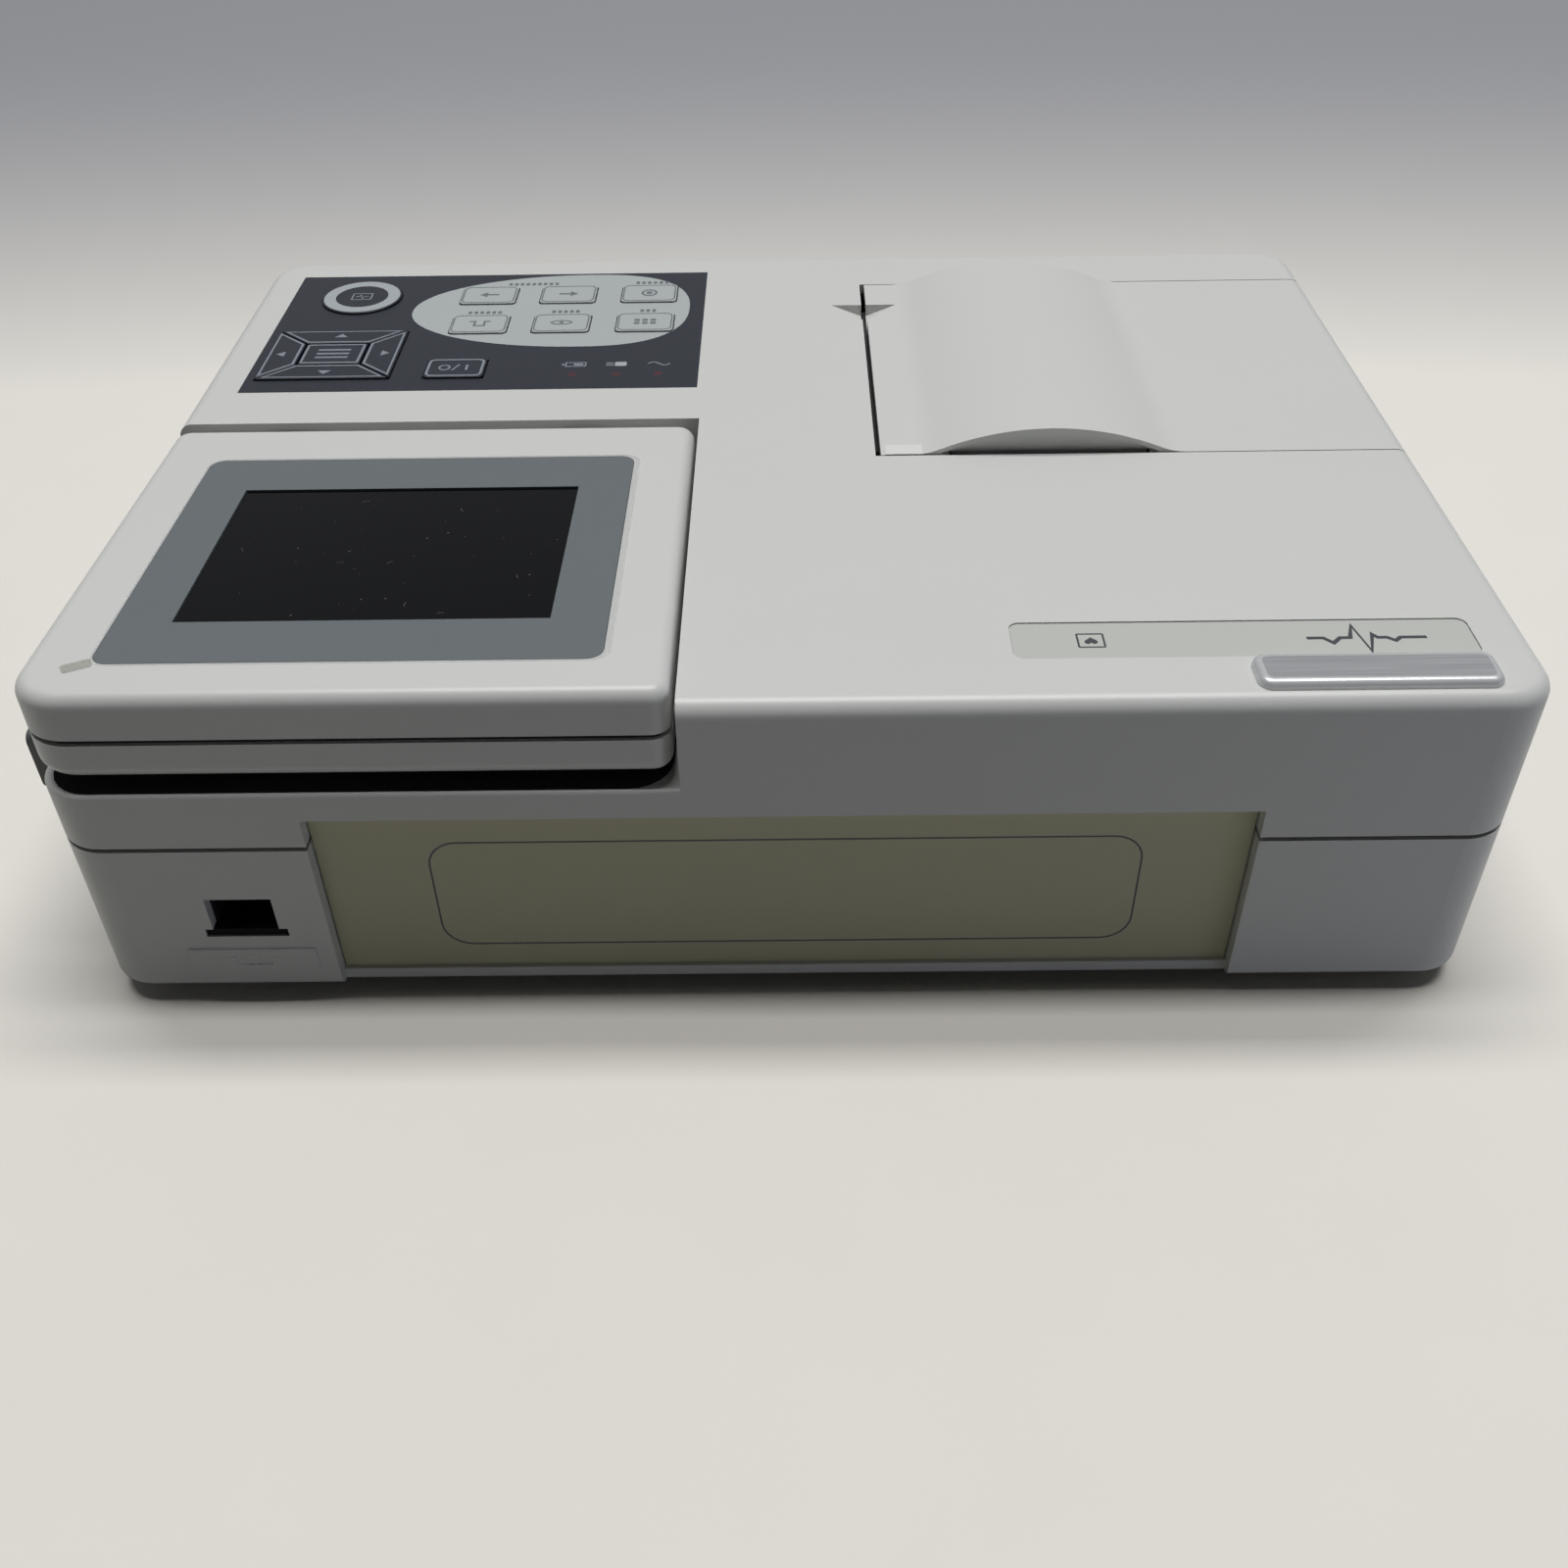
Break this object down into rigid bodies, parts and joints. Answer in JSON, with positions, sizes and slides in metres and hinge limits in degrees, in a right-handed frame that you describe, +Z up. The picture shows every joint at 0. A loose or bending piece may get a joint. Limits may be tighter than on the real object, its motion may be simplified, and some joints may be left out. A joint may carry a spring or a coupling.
{
  "type": "ecg machine",
  "caption": "Desktop electrocardiograph with tilting display, membrane-style keypad and thermal recorder under a humped hinged paper door.",
  "frame": {"origin": "bottom centre of the bounding box, on the plane the feet stand on", "axes": "+X to the operator's right along the width, +Y to the rear, +Z up"},
  "size_m": [0.2956, 0.2157, 0.0832],
  "materials": {
    "aluminium_sink": "black anodised",
    "badge_chrome": "domed",
    "battery_blue": "shrink sleeve",
    "black_plastic": "satin",
    "black_rubber": "matt",
    "board_green": "printed board",
    "brass_pin": "plain",
    "ceramic_head": "glazed bar",
    "core_white": "smooth",
    "cream_plate": "satin",
    "dark_grey": "fine texture",
    "frame_grey": "fine texture",
    "gear_white": "acetal",
    "grey_bezel": "satin film",
    "key_blue": "satin film",
    "key_light": "satin film",
    "label_white": "printed film",
    "lcd_black": "unlit display",
    "light_red": "clear tinted",
    "motor_can": "drawn can",
    "nickel_shell": "nickel plated",
    "overlay_blue": "satin film",
    "paper_white": "thermal paper",
    "roller_rubber": "ground",
    "steel": "plain",
    "switch_metal": "dome",
    "white_abs": "fine satin texture",
    "white_abs_door": "fine satin texture",
    "white_abs_screen": "fine satin texture",
    "white_tab": "smooth",
    "zinc_screw": "zinc plated"
  },
  "bodies": {
    "base": {"lower_case": "white_abs", "upper_case": "white_abs", "rear_plate": "cream_plate", "rubber_feet": "black_rubber", "case_screws": "zinc_screw", "battery_cover": "white_abs", "battery_pack": "battery_blue", "main_board": "board_green", "power_supply": "board_green", "network_jack": "black_plastic", "patient_hood": "dark_grey", "patient_socket": "nickel_shell", "jack_screws": "zinc_screw", "mains_inlet": "black_plastic", "mains_switch": "black_plastic", "earth_pin": "brass_pin", "keypad_overlay": "overlay_blue", "keypad_board": "board_green", "key_switches": "switch_metal", "status_lights": "light_red", "hinge_brackets": "steel", "recorder_frame": "frame_grey", "frame_screws": "zinc_screw", "print_head": "ceramic_head", "head_sink": "aluminium_sink", "idler_pin": "steel", "drive_motor": "motor_can", "top_label": "label_white", "top_badge": "badge_chrome"},
    "screen": {"screen_front": "white_abs_screen", "screen_back": "white_abs_screen", "screen_bezel": "grey_bezel", "lcd_panel": "lcd_black", "screen_screws": "zinc_screw", "hinge_pins": "steel"},
    "door": {"recorder_door": "white_abs_door", "door_tab": "white_tab", "door_pins": "steel"},
    "platen": {"platen_roller": "roller_rubber", "platen_shaft": "steel", "platen_gear": "gear_white"},
    "paper": {"paper_roll": "paper_white", "paper_spindle": "core_white"},
    "idler": {"idler_gear": "gear_white"},
    "pinion": {"motor_pinion": "brass_pin", "motor_shaft": "steel"},
    "rocker": {"mains_rocker": "black_plastic"},
    "body_key_print": {"key_print": "key_blue"},
    "body_key_up": {"key_up": "key_blue"},
    "body_key_down": {"key_down": "key_blue"},
    "body_key_left": {"key_left": "key_blue"},
    "body_key_right": {"key_right": "key_blue"},
    "body_key_menu": {"key_menu": "key_blue"},
    "body_key_power": {"key_power": "key_blue"},
    "body_key_mode": {"key_mode": "key_light"},
    "body_key_recall": {"key_recall": "key_light"},
    "body_key_calibrate": {"key_calibrate": "key_light"},
    "body_key_lead_back": {"key_lead_back": "key_light"},
    "body_key_lead_next": {"key_lead_next": "key_light"},
    "body_key_gain": {"key_gain": "key_light"}
  },
  "joints": [
    {"name": "screen_tilt", "type": "hinge", "parent": "base", "child": "screen", "pos_m": [0.07825, 0.0009, 0.0708], "axis": [1, 0, 0], "range_deg": [-1.5, 75]},
    {"name": "door_open", "type": "hinge", "parent": "base", "child": "door", "pos_m": [-0.14475, -0.0385, 0.058], "axis": [0, -1, 0], "range_deg": [0, 75]},
    {"name": "platen_spin", "type": "hinge", "parent": "door", "child": "platen", "pos_m": [-0.03375, -0.0385, 0.0655], "axis": [0, 1, 0], "continuous": true},
    {"name": "idler_spin", "type": "hinge", "parent": "base", "child": "idler", "pos_m": [-0.03218, 0.006, 0.04303], "axis": [0, 1, 0], "continuous": true},
    {"name": "pinion_spin", "type": "hinge", "parent": "base", "child": "pinion", "pos_m": [-0.01352, 0.006, 0.03803], "axis": [0, 1, 0], "continuous": true},
    {"name": "paper_spin", "type": "hinge", "parent": "base", "child": "paper", "pos_m": [-0.06375, -0.0385, 0.05], "axis": [0, 1, 0], "continuous": true},
    {"name": "mains_rock", "type": "hinge", "parent": "base", "child": "rocker", "pos_m": [-0.14275, 0.038, 0.0225], "axis": [0, 1, 0], "range_deg": [-14, 0]},
    {"name": "key_print_press", "type": "slide", "parent": "base", "child": "body_key_print", "axis": [0, 0, -1], "range_m": [0, 0.0005], "stiffness_N_per_m": 1500},
    {"name": "key_up_press", "type": "slide", "parent": "base", "child": "body_key_up", "axis": [0, 0, -1], "range_m": [0, 0.0005], "stiffness_N_per_m": 1500},
    {"name": "key_down_press", "type": "slide", "parent": "base", "child": "body_key_down", "axis": [0, 0, -1], "range_m": [0, 0.0005], "stiffness_N_per_m": 1500},
    {"name": "key_left_press", "type": "slide", "parent": "base", "child": "body_key_left", "axis": [0, 0, -1], "range_m": [0, 0.0005], "stiffness_N_per_m": 1500},
    {"name": "key_right_press", "type": "slide", "parent": "base", "child": "body_key_right", "axis": [0, 0, -1], "range_m": [0, 0.0005], "stiffness_N_per_m": 1500},
    {"name": "key_menu_press", "type": "slide", "parent": "base", "child": "body_key_menu", "axis": [0, 0, -1], "range_m": [0, 0.0005], "stiffness_N_per_m": 1500},
    {"name": "key_power_press", "type": "slide", "parent": "base", "child": "body_key_power", "axis": [0, 0, -1], "range_m": [0, 0.0005], "stiffness_N_per_m": 1500},
    {"name": "key_mode_press", "type": "slide", "parent": "base", "child": "body_key_mode", "axis": [0, 0, -1], "range_m": [0, 0.0005], "stiffness_N_per_m": 1500},
    {"name": "key_recall_press", "type": "slide", "parent": "base", "child": "body_key_recall", "axis": [0, 0, -1], "range_m": [0, 0.0005], "stiffness_N_per_m": 1500},
    {"name": "key_calibrate_press", "type": "slide", "parent": "base", "child": "body_key_calibrate", "axis": [0, 0, -1], "range_m": [0, 0.0005], "stiffness_N_per_m": 1500},
    {"name": "key_lead_back_press", "type": "slide", "parent": "base", "child": "body_key_lead_back", "axis": [0, 0, -1], "range_m": [0, 0.0005], "stiffness_N_per_m": 1500},
    {"name": "key_lead_next_press", "type": "slide", "parent": "base", "child": "body_key_lead_next", "axis": [0, 0, -1], "range_m": [0, 0.0005], "stiffness_N_per_m": 1500},
    {"name": "key_gain_press", "type": "slide", "parent": "base", "child": "body_key_gain", "axis": [0, 0, -1], "range_m": [0, 0.0005], "stiffness_N_per_m": 1500}
  ],
  "couplings": [
    {"joint": "idler_spin", "follows": "platen_spin", "ratio": -0.55556},
    {"joint": "pinion_spin", "follows": "platen_spin", "ratio": 1.6667}
  ]
}
